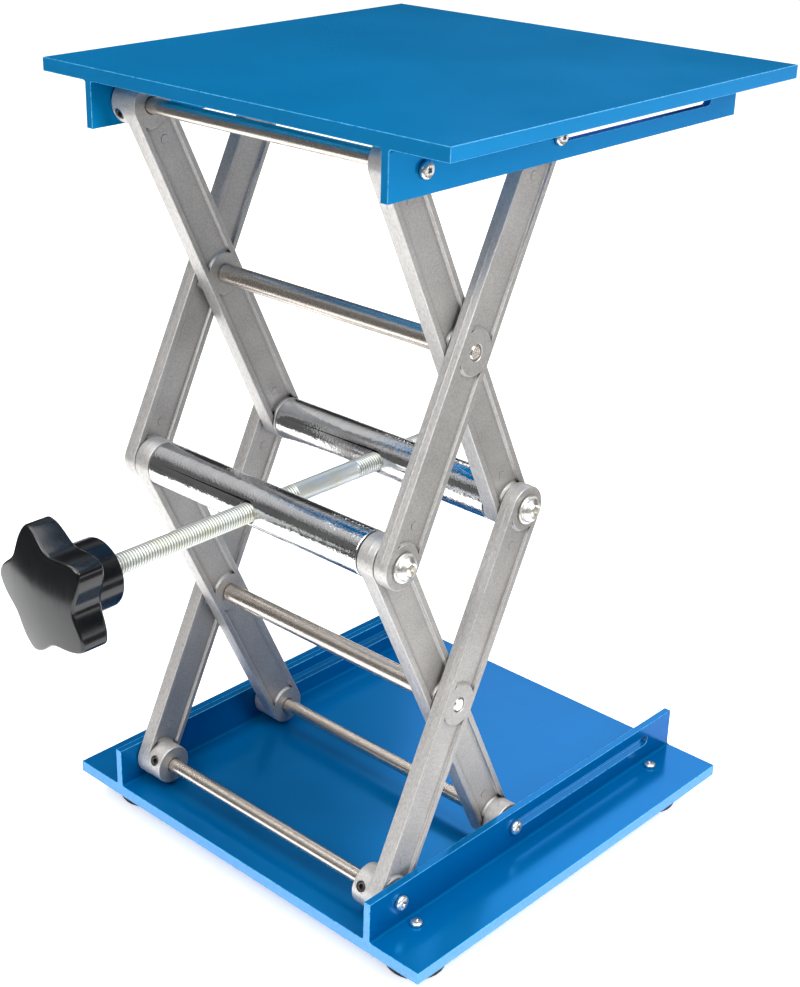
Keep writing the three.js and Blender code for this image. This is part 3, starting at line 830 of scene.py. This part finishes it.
def lead_screw():
    """Left-handed at the knob end and right-handed beyond the plain shank."""
    low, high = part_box("lead_screw")
    hub_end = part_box("knob")[1].y
    radius = (high.z - low.z) / 2
    thread_start = hub_end + 2 * MM
    rows = [(radius - 0.6 * MM, low.y), (radius - 0.05 * MM, low.y + 0.6 * MM)]
    rows += [(radius - 0.05 * MM, thread_start), *thread_rows(thread_start, PLAIN_SHANK[0], -1, radius)]
    rows += [(PLAIN_SHANK_RADIUS, PLAIN_SHANK[0] + 0.4 * MM), (PLAIN_SHANK_RADIUS, PLAIN_SHANK[1] - 0.4 * MM)]
    rows += thread_rows(PLAIN_SHANK[1], high.y - 1.2 * MM, 1, radius)
    rows += [(radius - 0.9 * MM, high.y - 0.2 * MM), (radius - 1.3 * MM, high.y)]
    screw = turned("look_lead_screw", rows, 32)
    at = middle("lead_screw")
    screw.matrix_world = facing((0, 0, at.z), Y)
    stand_in(screw, "lead_screw", "zinc_screw", ZINC)


def lobed(angle):
    """The knob's outline as a share of its tip radius, in a plane that looks along +Y."""
    lean = math.pi / 2 - angle
    valley = (0.5 - 0.5 * math.cos(KNOB_LOBES * (lean - KNOB_TURN))) ** KNOB_VALLEY_POWER
    return 1 - (1 - KNOB_VALLEY_RADIUS / KNOB_TIP_RADIUS) * valley


def knob():
    """A five-lobed head with rounded edges and a faintly domed face, on a round hub."""
    low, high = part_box("knob")
    insert_low, insert_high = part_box("knob_insert")
    insert_length = insert_high.y - insert_low.y
    seat = (insert_high.x - insert_low.x) / 2 + GAP
    back = KNOB_HEAD_LENGTH
    length = high.y - low.y
    tip = KNOB_TIP_RADIUS
    face = [(share * tip, 0, lobed) for share in (0.02, 0.15, 0.3, 0.45, 0.6, 0.75, 0.87, 0.93)]
    rounding = ((0, 0), (0.3, 0.05), (0.6, 0.17), (0.83, 0.4), (0.96, 0.7), (1, 1))
    front = [(tip + (r - 1) * MM, z * MM, lobed) for r, z in rounding]
    rear = [(tip, back - 1.4 * MM, lobed), (tip - 0.2 * MM, back - 0.7 * MM, lobed)]
    rear += [(tip - 0.7 * MM, back - 0.2 * MM, lobed), (tip - 1.5 * MM, back, lobed)]
    hub = [(KNOB_HUB_RADIUS + 1 * MM, back), (KNOB_HUB_RADIUS + 0.25 * MM, back + 0.3 * MM)]
    hub += [(KNOB_HUB_RADIUS, back + MM), (KNOB_HUB_RADIUS - 0.1 * MM, length - 1.2 * MM)]
    hub += [(KNOB_HUB_RADIUS - 0.35 * MM, length - 0.5 * MM), (KNOB_HUB_RADIUS - 1 * MM, length)]
    bore = [(seat + 0.2 * MM, length), (seat, length - 0.2 * MM), (seat, length - insert_length - 2 * GAP)]
    piece = turned("look_knob", face + front + rear + hub + bore, KNOB_SEGMENTS)
    for vertex in piece.data.vertices[: len(face + front) * KNOB_SEGMENTS]:
        vertex.co.z += KNOB_DOME * (vertex.co.xy.length / tip) ** 2
    piece.matrix_world = facing_knob(low.y)
    stand_in(piece, "knob", "knob_plastic", PLASTIC)


def facing_knob(y):
    """Local X points along +X and local Z along +Y, so the knob's outline isn't mirrored."""
    height = middle("lead_screw").z
    axes = Matrix((X, -Z, Y)).transposed().to_4x4()
    return Matrix.Translation((0, y, height)) @ axes


def knob_insert():
    """The metal bush moulded into the hub, with a knurl round it."""
    low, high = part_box("knob_insert")
    radius, length = (high.x - low.x) / 2, high.y - low.y

    def knurl(angle):
        return 1 - 0.05 * (0.5 + 0.5 * math.cos(24 * angle))

    bore = LEAD_SCREW_RADIUS + GAP
    rows = [(bore, 0), (radius - 0.4 * MM, 0), (radius, 0.4 * MM, knurl)]
    rows += [(radius, length - 1.5 * MM, knurl), (radius - 0.1 * MM, length - 1.2 * MM)]
    rows += [(radius - 0.1 * MM, length - 0.3 * MM), (radius - 0.4 * MM, length), (bore, length)]
    piece = turned("look_knob_insert", rows, 96, looped=True)
    piece.matrix_world = facing_knob(low.y)
    stand_in(piece, "knob_insert", "brass_insert", BRASS)


# ---------------------------------------------------------------- feet


def feet():
    for end in ("front", "rear"):
        for label in SIDES:
            foot(f"{end}_{label}")


def foot(label):
    """A rubber foot with a hollow sole, and the screw that holds it to the base plate."""
    low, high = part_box(f"foot_{label}")
    screw_low, screw_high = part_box(f"foot_screw_{label}")
    at = middle(f"foot_{label}")
    radius, bore = (high.x - low.x) / 2, PLATE_HOLE_RADIUS
    pad = [(0.5 * MM, low.z + 0.8 * MM), (radius - 4 * MM, low.z + 0.8 * MM), (radius - 4.6 * MM, low.z)]
    pad += [(radius - 0.7 * MM, low.z), (radius - 0.2 * MM, low.z + MM), (radius - 0.2 * MM, low.z + 5 * MM)]
    pad += [(radius, low.z + 5.5 * MM), (radius, high.z), (bore, high.z), (bore, screw_low.z - GAP)]
    pad = softened(pad, 0.5 * MM, 3)
    rubber = turned(f"look_foot_{label}", pad, 64)
    rubber.matrix_world = Matrix.Translation((at.x, at.y, 0))
    stand_in(rubber, f"foot_{label}", "black_rubber", RUBBER)
    head_radius, head_height = FOOT_SCREW_HEAD
    rows = pan_head(head_radius, head_height, screw_high.z - head_height, FOOT_SCREW_RADIUS, screw_low.z)
    screw = turned(f"look_foot_screw_{label}", rows, 64)
    screw.matrix_world = Matrix.Translation((at.x, at.y, 0)) @ Matrix.Rotation(at.x * 9 + at.y * 5, 4, "Z")
    stand_in(screw, f"foot_screw_{label}", "polished_screw", POLISHED)


# ---------------------------------------------------------------- studio


def floor():
    """A pale floor under the feet, lit from within enough to stay near white."""
    finish = Finish("floor", Roughness=0.9, Emission_Strength=0.45, Emission_Color=(1, 1, 1, 1))
    mottle = finish.noise(3, 3)
    finish.set("Base Color", finish.mixed(mottle, plain(0.965, 0.965, 0.965), plain(0.975, 0.975, 0.975)))
    bm = bmesh.new()
    bmesh.ops.create_grid(bm, x_segments=1, y_segments=1, size=6)
    piece = new_piece("floor", bm)
    piece.location.z = CAD_BOX[0].z
    piece.data.materials.append(finish.made)


def softbox(name, at, aim, size, power):
    """A rectangular soft light, of a size in metres and a power in watts."""
    light = bpy.data.lights.new(name, "AREA")
    light.shape = "RECTANGLE"
    light.size, light.size_y = size
    light.energy = power
    lamp = bpy.data.objects.new(name, light)
    bpy.context.scene.collection.objects.link(lamp)
    turn = (Vector(aim) - Vector(at)).to_track_quat("-Z", "Y")
    lamp.matrix_world = Matrix.Translation(at) @ turn.to_matrix().to_4x4()


def dark_card(name, rings, first, last):
    """A matt dark card that only shows in reflections: rings of (distance, height) over an arc."""
    finish = Finish(name, Roughness=1.0)
    finish.set("Base Color", finish.mixed(finish.noise(4), plain(0.22, 0.22, 0.22), plain(0.3, 0.3, 0.3)))
    steps = 24
    angles = [math.radians(first + (last - first) * step / steps) for step in range(steps + 1)]
    bm = bmesh.new()
    rows = []
    for distance, height in rings:
        points = [(distance * math.cos(angle), distance * math.sin(angle), height) for angle in angles]
        rows.append([bm.verts.new(point) for point in points])
    for low, high in zip(rows, rows[1:]):
        for here in range(steps):
            bm.faces.new((low[here], low[here + 1], high[here + 1], high[here]))
    card = new_piece(name, bm)
    card.data.materials.append(finish.made)
    card.visible_camera = card.visible_diffuse = card.visible_shadow = False


def surroundings():
    """A room that is bright overhead and dim near the horizon."""
    world = bpy.data.worlds.new("studio")
    world.use_nodes = True
    tree = world.node_tree
    place = tree.nodes.new("ShaderNodeTexCoord")
    parts = tree.nodes.new("ShaderNodeSeparateXYZ")
    ramp = tree.nodes.new("ShaderNodeValToRGB")
    tree.links.new(place.outputs["Generated"], parts.inputs[0])
    tree.links.new(parts.outputs["Z"], ramp.inputs[0])
    tree.links.new(ramp.outputs[0], tree.nodes["Background"].inputs["Color"])
    stops = [(0.0, 0.3), (0.03, 0.03), (0.45, 0.04), (0.65, 0.5), (1.0, 0.9)]
    while len(ramp.color_ramp.elements) < len(stops):
        ramp.color_ramp.elements.new(0.5)
    for element, (height, level) in zip(ramp.color_ramp.elements, stops):
        element.position = height
        element.color = (level, level, level, 1)
    bpy.context.scene.world = world


def camera():
    """The viewing point and lens of the reference view, aimed down at the jack from its right."""
    data = bpy.data.cameras.new("camera")
    data.lens = 62.5
    data.shift_x, data.shift_y = 0.0701, -0.0137
    heading, pitch, roll = (math.radians(angle) for angle in (134.154, -23.936, 0.695))
    level = math.cos(pitch)
    forward = Vector((level * math.cos(heading), level * math.sin(heading), math.sin(pitch)))
    right = forward.cross(Z).normalized()
    up = right.cross(forward)
    turn = Quaternion(forward, -roll)
    right, up = turn @ right, turn @ up
    axes = Matrix((right, up, -forward)).transposed().to_4x4()
    eye = bpy.data.objects.new("camera", data)
    bpy.context.scene.collection.objects.link(eye)
    eye.matrix_world = Matrix.Translation((0.427336, -0.48564, 0.429189)) @ axes
    bpy.context.scene.camera = eye


def studio():
    """The floor, the room, cards that darken the reflections, four soft lights and the camera."""
    floor()
    surroundings()
    low = CAD_BOX[0].z + MM
    dark_card("floor_card", [(0.52, low), (1.2, low)], 95, 350)
    dark_card("right_card", [(0.28, low), (0.8, low)], -10, 95)
    dark_card("wall_card", [(1.2, low), (1.2, 0.75)], 170, 370)
    softbox("overhead", (0.0, 0, 1.4), (0, 0, 0.15), (1.4, 1.4), 19)
    softbox("front_high", (0.15, -1.1, 1.15), (0, 0, 0.15), (0.7, 0.7), 14)
    softbox("right_high", (1.1, 0.1, 1.0), (0, 0, 0.1), (0.7, 0.7), 15)
    softbox("rear_card", (-1.0, 1.9, 1.45), (0, 0, 0.1), (1.0, 0.6), 4.5)
    camera()
    bpy.context.scene.view_settings.view_transform = "Standard"


plates()
arm_pairs()
rods()
crossbars()
lead_screw()
knob()
knob_insert()
feet()
studio()
